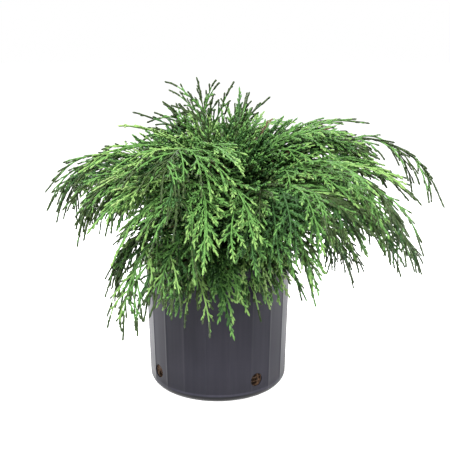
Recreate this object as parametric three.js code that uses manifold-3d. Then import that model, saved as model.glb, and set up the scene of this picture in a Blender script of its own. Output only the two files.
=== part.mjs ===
// Potted Siberian cypress: a low evergreen shrub whose feathery plumes rise from one short stem,
// arch out and droop over the rim of a fluted plastic nursery pot.
// Millimetres, +Z up. The origin is the centre of the pot's flat underside, the front is -Y.

import * as THREE from "three";
import { mergeVertices } from "three/addons/utils/BufferGeometryUtils.js";
import Module from "manifold-3d";

const wasm = await Module();
wasm.setup();

// Pot
const POT_HEIGHT = 222;
const POT_RIM_RADIUS = 122.5; // outside of the rolled rim
const POT_RIM_HEIGHT = 15;
const POT_WALL_TOP_RADIUS = 119.5; // crest of a flute, just under the rim
const POT_WALL_FOOT_RADIUS = 114.5; // crest of a flute, just above the bevel
const POT_BEVEL_HEIGHT = 11;
const POT_FOOT_RADIUS = 104; // outer edge of the flat foot
const POT_WALL = 2.2;
const POT_RIM_WALL = 4;
const POT_RIM_FLARE = 2; // height in which the wall widens into the rim
const POT_FLOOR = 3;
const POT_COVE_HEIGHT = POT_BEVEL_HEIGHT + 4; // inside, where the bevel ends
const FLUTES = 20;
const FLUTE_DEPTH = 1.4;
const FLUTE_STEPS = 3; // facets round one flute
const FLUTE_TURN = 9.5; // bearing of the crest next to +X
const FLUTE_MARGIN = 0.5; // the flutes reach this far past the wall's ends
const ROUND_STEPS = 24; // facets round the smooth inside
const DRAIN_HOLE_RADIUS = 11;
const DRAIN_HOLE_HEIGHT = 33; // centre above the underside
const DRAIN_HOLE_BEARINGS = [-147, -57, 33, 123];
const DRAIN_HOLE_STEPS = 10;
const DRAIN_HOLE_CUT = 30; // length of the cutter
const CLEARANCE = 0.3; // between pieces that touch
const SEAM = 0.01; // a fused seam has no edge shorter than this

// Potting mix
const SOIL_EDGE_HEIGHT = 197;
const SOIL_TOP_HEIGHT = 203;
const SOIL_FLAT_RADIUS = 27; // level round the stem

// Short main stem
const TRUNK_FOOT = SOIL_TOP_HEIGHT + CLEARANCE;
const TRUNK_TOP = 252;
const TRUNK_RADIUS = { flare: 20, base: 14.5, waist: 12.5, top: 10.5 };
const TRUNK_SHARE = { base: 0.12, waist: 0.4 }; // of its height
const TRUNK_CHAMFER = 2;
const TRUNK_LEAN = 0.04; // sideways to +X for each millimetre of height
const TRUNK_STEPS = 12;

// Boughs and plumes. An axis turns from its launch angle to its nod angle (degrees above level) by
// launch + (nod - launch) * t ** bend, with t from 0 at the trunk to 1 at the plume's furthest tip.
const AXIS_STEPS = 24;
const BOUGH_RADIUS = { foot: 2.7, tip: 1.9 };
const BOUGH_SIDES = 5;
const BOUGH_STEPS = 3;
const STEM_RADIUS = { root: 1.8, tip: 0.9 };
const STEM_SIDES = 3;
const STEM_STEPS = 6;
const STEM_END = 0.84; // share of the axis where the end blade takes over
const TIERS = {
  rim: { foot: 216, launch: 60, nod: -82, bend: 0.9, share: 0.3, reach: 100 },
  arch: { foot: 229, launch: 68, nod: -66, bend: 1.05, share: 0.28, reach: 135 },
  upper: { foot: 241, launch: 77, nod: -38, bend: 1.2, share: 0.32, reach: 128 },
  top: { foot: 252, launch: 87, nod: 20, bend: 2.2, share: 0.38, reach: 100 },
};
const PLUMES = [
  { tier: "rim", bearing: -114, length: 300, sway: -4, launch: 66 },
  { tier: "rim", bearing: -96, length: 245, sway: 6, foot: 221, launch: 66 },
  { tier: "rim", bearing: -74, length: 212, sway: 5, launch: 64, nod: -98 },
  { tier: "rim", bearing: -46, length: 205, sway: 8, foot: 221, launch: 67, nod: -74, reach: 118 },
  { tier: "rim", bearing: -138, length: 248, sway: 2, foot: 221, nod: -74, reach: 91 },
  {
    tier: "rim", bearing: -8, length: 392, sway: 2,
    foot: 213, launch: 46, nod: -66, bend: 1.05, reach: 109,
  },
  { tier: "rim", bearing: 32, length: 342, sway: 1, foot: 221, launch: 54, nod: -76, reach: 118 },
  { tier: "rim", bearing: 78, length: 300, sway: -5, nod: -76 },
  { tier: "rim", bearing: 124, length: 300, sway: 5, foot: 221, nod: -76 },
  { tier: "rim", bearing: 168, length: 172, sway: 4, launch: 61, nod: -58, bend: 1, reach: 91 },
  {
    tier: "arch", bearing: 169, length: 378, sway: -7,
    launch: 73, nod: -80, bend: 1.4, reach: 126,
  },
  {
    tier: "arch", bearing: 2, length: 470, sway: -11,
    launch: 66, nod: -78, bend: 1.6, reach: 117, turn: 3,
  },
  {
    tier: "arch", bearing: 36, length: 445, sway: 5,
    foot: 235, launch: 71, nod: -78, bend: 1.15, reach: 144,
  },
  { tier: "arch", bearing: -20, length: 405, sway: 17, launch: 69, nod: -70, bend: 1.25, turn: -3 },
  { tier: "arch", bearing: -74, length: 325, sway: 5, launch: 76, bend: 1.1 },
  {
    tier: "arch", bearing: -104, length: 330, sway: 4,
    foot: 233, launch: 82, nod: -58, bend: 1.1, turn: 5,
  },
  {
    tier: "arch", bearing: -151, length: 318, sway: -14,
    foot: 233, launch: 76, bend: 1.3, reach: 126, turn: -4,
  },
  { tier: "arch", bearing: 72, length: 380, sway: 5 },
  { tier: "arch", bearing: 110, length: 390, sway: -5 },
  { tier: "arch", bearing: 140, length: 371, sway: 5, foot: 234, launch: 72, reach: 144 },
  {
    tier: "upper", bearing: 210, length: 285, sway: -8,
    foot: 246, launch: 84, nod: -62, bend: 1.4, reach: 137, turn: -4,
  },
  { tier: "upper", bearing: 15, length: 346, sway: 9, launch: 82, nod: -60, bend: 1.6 },
  { tier: "upper", bearing: -46, length: 345, sway: 8, launch: 75, bend: 0.9, reach: 137 },
  { tier: "upper", bearing: 84, length: 345, sway: 6, launch: 80, nod: -30 },
  {
    tier: "upper", bearing: -120, length: 338, sway: -4,
    launch: 88, nod: -46, reach: 137, turn: -8,
  },
  { tier: "top", bearing: 140, length: 272, sway: 20, launch: 94, nod: -64, bend: 3.2, reach: 112 },
  { tier: "top", bearing: -120, length: 236, sway: -12, launch: 86, nod: 76, bend: 1.6, reach: 80 },
  { tier: "top", bearing: 27, length: 243, sway: -9, launch: 85, nod: 68, bend: 2.3, reach: 65 },
];
const TOP_FOOT_RADIUS = 5.5; // the top boughs stand on the trunk's end
const BOUGH_SINK = 1; // the others start this deep in the trunk
const STEM_OVERLAP = 0.01; // share of the axis by which the stem runs into its end blade

// Toothed blades, each a flat spray of scale leaves
const BLADES = 6; // places for side blades on a stem
const FIRST_BLADE = 12; // millimetres past the bough's tip
const LAST_BLADE = 0.8; // share of the axis where the side blades end
const BLADE_THICKNESS = 2;
const BLADE_CORE = { root: 2.6, tip: 1.4 }; // half width of the solid rib
const BLADE_STEPS = 5; // bends along a blade
const FORWARD = { root: 56, tip: 32, jitter: 4 }; // angle between blade and stem, degrees
const BLADE_SWELL = { least: 0.66, start: 0.1, end: 0.9 }; // lengths along a stem, by swell()
const LENGTH_JITTER = 0.08; // share of a blade's length
const PLACE_JITTER = 0.005; // share of the axis
const ROLLS = [-26, -6, 16]; // tilts of a spray about its stem that are tried, degrees
const ROLL_JITTER = 6;
const SHINGLE = THREE.MathUtils.degToRad(10);
const DROOP = { least: 0.6, most: 1 }; // how strongly a blade bends down
const TOOTH_SHARE = 0.4; // longest tooth, as a share of its blade's length
const TOOTH_ANGLE = 29; // degrees between a tooth and the rib
const TOOTH_SWELL = { least: 0.45, start: 0.25, end: 0.85 }; // lengths along a blade, by swell()
const TIP_PITCH = 0.75; // from the last tooth's place to the tip, in pitches
const TEETH = { long: 3, short: 2, limit: 80 }; // on the outer edge; the inner edge has one less
const INNER_START = 1; // first notch of each edge, in pitches from the root
const OUTER_START = 0.45;
const SHRINKS = [1, 0.8, 0.62, 0.46]; // lengths tried until a blade meets nothing
const SPACE = 0.8; // kept between pieces of foliage
const SEED = 20117;

// Colour and roughness; the leaves of a plume take its tier's
const FINISHES = {
  pot: { colour: 0x46464c, roughness: 0.55 },
  soil: { colour: 0x4a3826, roughness: 0.95 },
  bark: { colour: 0x7d5d3f, roughness: 0.85 },
  rim: { colour: 0x6f9a4a, roughness: 0.7 },
  arch: { colour: 0x5b8b42, roughness: 0.7 },
  upper: { colour: 0x4f7f3b, roughness: 0.7 },
  top: { colour: 0x5f9045, roughness: 0.7 },
};

const radians = THREE.MathUtils.degToRad;
const lerp = THREE.MathUtils.lerp;

// Part of a sine's arch, raised to start and end above its least value and to reach 1 at its middle
function swell({ least, start, end }, share) {
  return lerp(least, 1, Math.sin(Math.PI * lerp(start, end, share)));
}

// Closed geometry to solid and back
function solidOf(geometry) {
  const bare = new THREE.BufferGeometry();
  bare.setAttribute("position", geometry.getAttribute("position"));
  bare.setIndex(geometry.getIndex());
  const merged = mergeVertices(bare, 1e-4);
  return new wasm.Manifold(
    new wasm.Mesh({
      numProp: 3,
      vertProperties: new Float32Array(merged.getAttribute("position").array),
      triVerts: new Uint32Array(merged.getIndex().array),
    }),
  );
}

function geometryOf(solid) {
  const mesh = solid.getMesh();
  const geometry = new THREE.BufferGeometry();
  geometry.setAttribute("position", new THREE.BufferAttribute(mesh.vertProperties, 3));
  geometry.setIndex(new THREE.BufferAttribute(mesh.triVerts, 1));
  return geometry;
}

// A lathe turned about +Z from [radius, height] pairs that start and end on the axis
function turned(profile, steps) {
  const points = profile.map(([radius, height]) => new THREE.Vector2(radius, height));
  return new THREE.LatheGeometry(points, steps).rotateX(Math.PI / 2);
}

// Random numbers that repeat from one run to the next
function seeded(seed) {
  let state = seed >>> 0;
  return () => {
    state = (Math.imul(state, 1664525) + 1013904223) >>> 0;
    return state / 4294967296;
  };
}

// Pot: a fluted wall with a rolled rim, a bevelled foot, a floor and four side drain holes
function wallRadius(height) {
  const share = (height - POT_BEVEL_HEIGHT) / (POT_HEIGHT - POT_RIM_HEIGHT - POT_BEVEL_HEIGHT);
  return lerp(POT_WALL_FOOT_RADIUS, POT_WALL_TOP_RADIUS, share);
}

// Inside of the wall, clear of the flutes' hollows
function insideRadius(height) {
  return wallRadius(height) - FLUTE_DEPTH - POT_WALL;
}

function makePot() {
  const rimFoot = POT_HEIGHT - POT_RIM_HEIGHT;
  const outer = turned(
    [
      [0, 0],
      [POT_FOOT_RADIUS, 0],
      [POT_WALL_FOOT_RADIUS, POT_BEVEL_HEIGHT],
      [POT_WALL_TOP_RADIUS, rimFoot],
      [POT_RIM_RADIUS, rimFoot + POT_RIM_FLARE],
      [POT_RIM_RADIUS, POT_HEIGHT],
      [0, POT_HEIGHT],
    ],
    FLUTES * FLUTE_STEPS,
  );
  pressFlutes(outer);
  outer.rotateZ(radians(FLUTE_TURN));
  const rimInside = POT_RIM_RADIUS - POT_RIM_WALL;
  const inner = turned(
    [
      [0, POT_FLOOR],
      [POT_FOOT_RADIUS - POT_WALL, POT_FLOOR],
      [insideRadius(POT_COVE_HEIGHT), POT_COVE_HEIGHT],
      [insideRadius(rimFoot - POT_RIM_FLARE), rimFoot - POT_RIM_FLARE],
      [rimInside, rimFoot + POT_RIM_FLARE],
      [rimInside, POT_HEIGHT + POT_WALL],
      [0, POT_HEIGHT + POT_WALL],
    ],
    ROUND_STEPS,
  );
  let pot = solidOf(outer).subtract(solidOf(inner));
  for (const bearing of DRAIN_HOLE_BEARINGS) {
    const radius = DRAIN_HOLE_RADIUS;
    const hole = new THREE.CylinderGeometry(radius, radius, DRAIN_HOLE_CUT, DRAIN_HOLE_STEPS);
    hole.rotateZ(Math.PI / 2);
    hole.translate(POT_WALL_FOOT_RADIUS, 0, DRAIN_HOLE_HEIGHT);
    hole.rotateZ(radians(bearing));
    pot = pot.subtract(solidOf(hole));
  }
  return geometryOf(pot);
}

// Hollows between the crests of the wall; the bevel, foot and rim stay round
function pressFlutes(geometry) {
  const position = geometry.getAttribute("position");
  const low = POT_BEVEL_HEIGHT - FLUTE_MARGIN;
  const high = POT_HEIGHT - POT_RIM_HEIGHT + FLUTE_MARGIN;
  for (let i = 0; i < position.count; i++) {
    const x = position.getX(i);
    const y = position.getY(i);
    const z = position.getZ(i);
    if (z < low || z > high) continue;
    const phase = (FLUTES * Math.atan2(y, x)) / 2;
    const radius = Math.hypot(x, y);
    const scale = (radius - FLUTE_DEPTH * Math.sin(phase) ** 2) / radius;
    position.setXYZ(i, x * scale, y * scale, z);
  }
}

// Potting mix: fills the pot, level round the stem and falling a little towards the wall
function makeSoil() {
  const edge = insideRadius(SOIL_EDGE_HEIGHT) - CLEARANCE;
  const profile = [
    [0, POT_FLOOR + CLEARANCE],
    [POT_FOOT_RADIUS - POT_WALL - 2 * CLEARANCE, POT_FLOOR + CLEARANCE],
    [insideRadius(POT_COVE_HEIGHT) - 2 * CLEARANCE, POT_COVE_HEIGHT],
    [edge, SOIL_EDGE_HEIGHT],
    [SOIL_FLAT_RADIUS, SOIL_TOP_HEIGHT],
    [0, SOIL_TOP_HEIGHT],
  ];
  return geometryOf(solidOf(turned(profile, ROUND_STEPS)));
}

// Short main stem: flared foot, flat cut at ground level, slight lean. grow swells it on all sides.
function trunkAxisX(height) {
  return (height - TRUNK_FOOT) * TRUNK_LEAN;
}

function trunkSolid(grow) {
  const height = TRUNK_TOP - TRUNK_FOOT;
  const foot = TRUNK_FOOT - grow;
  const geometry = turned(
    [
      [0, foot],
      [TRUNK_RADIUS.flare + grow, foot],
      [TRUNK_RADIUS.base + grow, TRUNK_FOOT + height * TRUNK_SHARE.base],
      [TRUNK_RADIUS.waist + grow, TRUNK_FOOT + height * TRUNK_SHARE.waist],
      [TRUNK_RADIUS.top + grow, TRUNK_TOP + grow - TRUNK_CHAMFER],
      [TRUNK_RADIUS.top + grow - TRUNK_CHAMFER, TRUNK_TOP + grow],
      [0, TRUNK_TOP + grow],
    ],
    TRUNK_STEPS,
  );
  const position = geometry.getAttribute("position");
  for (let i = 0; i < position.count; i++) {
    position.setX(i, position.getX(i) + trunkAxisX(position.getZ(i)));
  }
  return solidOf(geometry);
}

// Plume axis: points, and at each a forward, side and up direction
function growAxis(plume) {
  const foot = trunkFootOf(plume);
  const points = [foot];
  const frames = [];
  for (let i = 0; i < AXIS_STEPS; i++) {
    frames.push(axisFrame(plume, (i + 0.5) / AXIS_STEPS));
    points.push(points[i].clone().addScaledVector(frames[i].forward, plume.length / AXIS_STEPS));
  }
  return { points, frames };
}

function trunkFootOf(plume) {
  const share = (plume.foot - TRUNK_FOOT) / (TRUNK_TOP - TRUNK_FOOT);
  const onEnd = plume.tier === "top";
  const inBark = lerp(TRUNK_RADIUS.base, TRUNK_RADIUS.top, share) - BOUGH_SINK;
  const radius = onEnd ? TOP_FOOT_RADIUS : inBark;
  const bearing = radians(plume.bearing + plume.turn);
  const lean = trunkAxisX(plume.foot);
  return new THREE.Vector3(lean + radius * Math.cos(bearing), radius * Math.sin(bearing), plume.foot);
}

function axisFrame(plume, t) {
  const rise = radians(lerp(plume.launch, plume.nod, t ** plume.bend));
  const bearing = radians(plume.bearing + plume.sway * t ** 2);
  const out = new THREE.Vector3(Math.cos(bearing), Math.sin(bearing), 0);
  const forward = out.multiplyScalar(Math.cos(rise)).setZ(Math.sin(rise));
  const side = new THREE.Vector3(Math.sin(bearing), -Math.cos(bearing), 0);
  return { forward, side, up: new THREE.Vector3().crossVectors(side, forward) };
}

// Place and directions at share t of a path, between its points
function along(path, t) {
  const steps = path.points.length - 1;
  const step = THREE.MathUtils.clamp(t * steps, 0, steps - 1e-9);
  const i = Math.floor(step);
  const at = path.points[i].clone().lerp(path.points[i + 1], step - i);
  const centre = THREE.MathUtils.clamp(t * steps - 0.5, 0, steps - 1);
  const j = Math.min(Math.floor(centre), steps - 2);
  const turn = (name) => {
    const mixed = path.frames[j][name].clone().lerp(path.frames[j + 1][name], centre - j);
    return mixed.normalize();
  };
  return { at, forward: turn("forward"), side: turn("side"), up: turn("up") };
}

// Bends a geometry whose length runs along +Y from 0 to 1 on to a path: X to the side, Z up
function bendAlong(geometry, path, start, end) {
  const position = geometry.getAttribute("position");
  for (let i = 0; i < position.count; i++) {
    const y = position.getY(i);
    const inside = THREE.MathUtils.clamp(y, 0, 1);
    const place = along(path, lerp(start, end, inside));
    const beyond = (y - inside) * (end - start) * path.length;
    const at = place.at
      .addScaledVector(place.side, position.getX(i))
      .addScaledVector(place.up, position.getZ(i))
      .addScaledVector(place.forward, beyond);
    position.setXYZ(i, at.x, at.y, at.z);
  }
  return geometry;
}

// Round tapering limb from share start to share end of a path
function limb(path, start, end, radius, sides, steps) {
  const tube = new THREE.CylinderGeometry(radius.end, radius.start, 1, sides, steps);
  tube.translate(0, 0.5, 0);
  return bendAlong(tube, path, start, end);
}

function makeBough(plume, axis) {
  const radius = { start: BOUGH_RADIUS.foot, end: BOUGH_RADIUS.tip };
  return limb(axis, 0, plume.share, radius, BOUGH_SIDES, BOUGH_STEPS);
}

// Flat spray: a rib with teeth that point forward, left and right by turns. The edge on the stem's
// side (inner, 1 or -1 along X) starts its teeth further out, so that none crosses the stem. grow
// swells the blade on all sides.
function toothedBlade(length, inner, grow) {
  const teeth = length < TEETH.limit ? TEETH.short : TEETH.long;
  const pitch = length / (teeth + TIP_PITCH);
  const edge = (side) => {
    const points = [];
    const first = side === inner ? INNER_START : OUTER_START;
    for (let i = 0; first + i < teeth; i++) {
      const share = (first + i) / teeth;
      const tooth = TOOTH_SHARE * length * swell(TOOTH_SWELL, share);
      const core = lerp(BLADE_CORE.root, BLADE_CORE.tip, share) + grow;
      const notch = (first + i) * pitch;
      const across = core + tooth * Math.sin(radians(TOOTH_ANGLE));
      points.push([side * core, notch]);
      points.push([side * across, notch + tooth * Math.cos(radians(TOOTH_ANGLE)) + grow]);
    }
    const end = teeth + (side === inner ? 0 : OUTER_START);
    points.push([side * (BLADE_CORE.tip + grow), end * pitch]);
    return points;
  };
  const outline = new THREE.Shape();
  outline.moveTo(0, -grow);
  for (const [x, y] of edge(1)) outline.lineTo(x, y);
  outline.lineTo(0, length + grow);
  for (const [x, y] of edge(-1).reverse()) outline.lineTo(x, y);
  outline.closePath();
  const depth = BLADE_THICKNESS + 2 * grow;
  const blade = new THREE.ExtrudeGeometry(outline, { depth, bevelEnabled: false });
  blade.translate(0, 0, -depth / 2);
  return blade.scale(1, 1 / length, 1);
}

// Path of a side blade: it leaves its stem forwards and to one side, then bends down. Its edge that
// faces the stem's tip is lifted by SHINGLE, so that neighbours lie over each other like tiles.
function bladePath(stem, rule, length) {
  const across = stem.side.clone().multiplyScalar(rule.side * Math.cos(rule.roll));
  across.addScaledVector(stem.up, Math.sin(rule.roll));
  const level = stem.up.clone().multiplyScalar(Math.cos(rule.roll));
  level.addScaledVector(stem.side, -rule.side * Math.sin(rule.roll));
  let forward = stem.forward.clone().multiplyScalar(Math.cos(rule.forward));
  forward.addScaledVector(across, Math.sin(rule.forward));
  const points = [stem.at.clone()];
  const frames = [];
  for (let i = 0; i < BLADE_STEPS; i++) {
    forward = forward.clone().add(new THREE.Vector3(0, 0, -rule.droop / BLADE_STEPS)).normalize();
    const flat = new THREE.Vector3().crossVectors(forward, level).normalize();
    const normal = new THREE.Vector3().crossVectors(flat, forward);
    const side = flat.multiplyScalar(Math.cos(SHINGLE));
    side.addScaledVector(normal, -rule.side * Math.sin(SHINGLE));
    frames.push({ forward, side, up: new THREE.Vector3().crossVectors(side, forward) });
    points.push(points[i].clone().addScaledVector(forward, length / BLADE_STEPS));
  }
  return { points, frames, length };
}

// The rule by which a stem branches: where each side blade stands, where it points, how long it is
function bladeRule(plume, index, random) {
  const share = (index + 0.5) / BLADES;
  const first = plume.share + FIRST_BLADE / plume.length;
  const either = (range) => range * (2 * random() - 1);
  return {
    t: lerp(first, LAST_BLADE, share) + either(PLACE_JITTER),
    side: (index + plume.order) % 2 ? 1 : -1,
    forward: radians(lerp(FORWARD.root, FORWARD.tip, share) + either(FORWARD.jitter)),
    tilt: either(ROLL_JITTER),
    droop: lerp(DROOP.least, DROOP.most, random()),
    length: plume.reach * swell(BLADE_SWELL, share) * (1 + either(LENGTH_JITTER)),
  };
}

// Keeps the pieces apart: every solid that stands so far, with its box
function makeGarden() {
  const pieces = [];
  return {
    add(solid) {
      const box = solid.boundingBox();
      const piece = { solid, box };
      pieces.push(piece);
      return piece;
    },
    // True where a swollen blade meets none of them, its own stem left out
    isFree(blade, stem) {
      const box = blade.boundingBox();
      return pieces.every((piece) => {
        if (piece === stem) return true;
        for (let k = 0; k < 3; k++) {
          if (box.min[k] > piece.box.max[k] || box.max[k] < piece.box.min[k]) return true;
        }
        return blade.intersect(piece.solid).isEmpty();
      });
    },
  };
}

// Space of the pot and what is in it
function potSpace() {
  const radius = POT_RIM_RADIUS + 2 * SPACE;
  const space = new THREE.CylinderGeometry(radius, radius, POT_HEIGHT + 2 * SPACE, ROUND_STEPS);
  return solidOf(space.rotateX(Math.PI / 2).translate(0, 0, POT_HEIGHT / 2 + SPACE));
}

// Foliage stem: three-sided, from 0.3 mm past the bough's tip
function makeStem(plume) {
  const root = plume.share + CLEARANCE / plume.length;
  const radius = { start: STEM_RADIUS.root, end: STEM_RADIUS.tip };
  return solidOf(limb(plume.axis, root, STEM_END + STEM_OVERLAP, radius, STEM_SIDES, STEM_STEPS));
}

// Length of a solid's shortest edge
function shortestEdge(solid) {
  const geometry = geometryOf(solid);
  const position = geometry.getAttribute("position");
  const corners = geometry.getIndex().array;
  const from = new THREE.Vector3();
  const to = new THREE.Vector3();
  let least = Infinity;
  for (let i = 0; i < corners.length; i++) {
    const next = i % 3 === 2 ? i - 2 : i + 1;
    from.fromBufferAttribute(position, corners[i]);
    to.fromBufferAttribute(position, corners[next]);
    least = Math.min(least, from.distanceTo(to));
  }
  return least;
}

// Grows a blade of the greatest length that meets nothing and fuses cleanly, or none
function growBlade(plume, garden, tries, make) {
  for (const [shrink, roll] of tries) {
    if (!garden.isFree(solidOf(make(shrink, roll, SPACE)), plume.stem)) continue;
    const blade = solidOf(make(shrink, roll, 0));
    const fused = plume.foliage.add(blade);
    if (shortestEdge(fused) < SEAM) continue;
    garden.add(blade);
    plume.foliage = fused;
    return;
  }
}

function growEndBlade(plume, garden) {
  growBlade(plume, garden, SHRINKS.map((shrink) => [shrink, 0]), (shrink, roll, grow) => {
    const blade = toothedBlade(plume.length * (1 - STEM_END) * shrink, 0, grow);
    return bendAlong(blade, plume.axis, STEM_END, lerp(STEM_END, 1, shrink));
  });
}

function growSideBlade(plume, index, garden) {
  const rule = plume.rules[index];
  const stem = along(plume.axis, rule.t);
  const tries = SHRINKS.flatMap((shrink) => ROLLS.map((roll) => [shrink, roll]));
  growBlade(plume, garden, tries, (shrink, roll, grow) => {
    const length = rule.length * shrink;
    const path = bladePath(stem, { ...rule, roll: radians(roll + rule.tilt) }, length);
    return bendAlong(toothedBlade(length, -rule.side, grow), path, 0, 1);
  });
}

// Names and assembly
function finish(name) {
  const { colour, roughness } = FINISHES[name];
  return new THREE.MeshStandardMaterial({ color: colour, roughness, metalness: 0 });
}

function addMesh(group, name, geometry, material) {
  const mesh = new THREE.Mesh(geometry, material);
  mesh.name = name;
  group.add(mesh);
}

function plantAll() {
  const counts = {};
  const garden = makeGarden();
  const trunk = trunkSolid(0);
  const cutter = trunkSolid(CLEARANCE);
  garden.add(potSpace());
  garden.add(cutter);
  const plumes = PLUMES.map((row, order) => {
    const plume = { order, turn: 0, ...TIERS[row.tier], ...row };
    counts[row.tier] = (counts[row.tier] ?? 0) + 1;
    plume.label = `${row.tier}_${counts[row.tier]}`;
    plume.axis = { ...growAxis(plume), length: plume.length };
    plume.bough = solidOf(makeBough(plume, plume.axis)).subtract(cutter);
    plume.foliage = makeStem(plume);
    const random = seeded(SEED + order);
    plume.rules = Array.from({ length: BLADES }, (_, index) => bladeRule(plume, index, random));
    garden.add(plume.bough);
    plume.stem = garden.add(plume.foliage);
    return plume;
  });
  for (const plume of plumes) growEndBlade(plume, garden);
  for (let index = BLADES - 1; index >= 0; index--) {
    for (const plume of plumes) growSideBlade(plume, index, garden);
  }
  const group = new THREE.Group();
  addMesh(group, "pot", makePot(), finish("pot"));
  addMesh(group, "soil", makeSoil(), finish("soil"));
  addMesh(group, "trunk", geometryOf(trunk), finish("bark"));
  for (const plume of plumes) {
    addMesh(group, `bough_${plume.label}`, geometryOf(plume.bough), finish("bark"));
    addMesh(group, `foliage_${plume.label}`, geometryOf(plume.foliage), finish(plume.tier));
  }
  return group;
}

export default plantAll();
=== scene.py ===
"""Potted Siberian cypress: a low evergreen shrub of feathery plumes in a fluted nursery pot.

Sizes are millimetres unless a comment says metres. +Z is up and the front is -Y.
"""

import bpy
import numpy as np
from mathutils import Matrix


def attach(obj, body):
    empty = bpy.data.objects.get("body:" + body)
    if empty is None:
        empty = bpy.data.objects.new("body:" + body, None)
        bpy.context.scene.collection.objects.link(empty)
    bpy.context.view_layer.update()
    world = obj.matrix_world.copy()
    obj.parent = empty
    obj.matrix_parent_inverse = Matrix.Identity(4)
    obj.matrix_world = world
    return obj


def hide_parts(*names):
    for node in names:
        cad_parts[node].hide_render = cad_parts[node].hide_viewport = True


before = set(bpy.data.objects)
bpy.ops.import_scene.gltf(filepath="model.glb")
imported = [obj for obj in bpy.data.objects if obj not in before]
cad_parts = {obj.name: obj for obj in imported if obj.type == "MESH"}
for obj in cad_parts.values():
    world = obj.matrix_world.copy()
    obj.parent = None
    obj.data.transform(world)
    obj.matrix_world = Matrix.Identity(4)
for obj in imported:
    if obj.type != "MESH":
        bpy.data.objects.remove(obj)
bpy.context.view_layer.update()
MM = 0.001
SEED = 60137

# Pot
POT_HEIGHT = 222
RIM_RADIUS = 122.5
RIM_HEIGHT = 15
WALL_TOP_RADIUS = 119.5
WALL_FOOT_RADIUS = 114.5
BEVEL_HEIGHT = 11
FOOT_RADIUS = 104
FOOT_ROUNDING = 0.5  # of the bevel: 0 is flat, 1 a quarter of an ellipse
FOOT_PAINTED_SHADE = 0.3  # painted shade: share of the wall's colour on the bevel, which faces the floor
FOOT_PAINTED_HIGHLIGHT = (13.6, 1.6, 0.7)  # a painted highlight round the foot: height, half width, added colour
LOW_PAINTED_SHADOW = (12, 50, 0.78)  # painted shadow: between these heights the wall darkens downwards to this share
POT_COLOURS = ((0.0105, 0.0105, 0.0148), (0.0150, 0.0142, 0.0195))
WALL = 1.6
POT_FLOOR = 3
FLUTES = 20
FLUTE_DEPTH = 1.4
FLUTE_TURN = 9.5  # bearing of a ridge between two flutes
HOLLOW_DEPTH = 0.9  # of a flute's curve; the rest of its depth is the height of the ridges
RIDGE_WIDTH = 2.2
RIDGE_COLUMNS = (0, 0.35, 0.75, 1.2, 1.7, 2.4, 3.4, 5, 7, 9)  # degrees from a ridge
RIM_BEAD = 1.8  # radius of the rolled edge
DRAIN_RADIUS = 11
DRAIN_HEIGHT = 33
DRAIN_SIDES = 40
DRAIN_BEARINGS = (-147, -57, 33, 123)

# Potting mix
MIX_EDGE_HEIGHT = 197
MIX_TOP_HEIGHT = 203
MIX_FLAT_RADIUS = 27
MIX_CLEARANCE = 0.6
MIX_LUMPS = ((1.1, 22), (0.7, 7))  # height and size of the waves on its top
MIX_RINGS = 26
MIX_COLUMNS = 240
CHIPS = 420
ROOTS = 9  # at each drain hole
ROOT_WIDTH = (0.35, 0.8)

# Short main stem
TRUNK_FOOT = 203.3
TRUNK_TOP = 252
TRUNK_RADIUS = {"flare": 20, "base": 14.5, "waist": 12.5, "top": 10.5}
TRUNK_LEAN = 0.04
TRUNK_RINGS = 44
TRUNK_COLUMNS = 96

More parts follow.
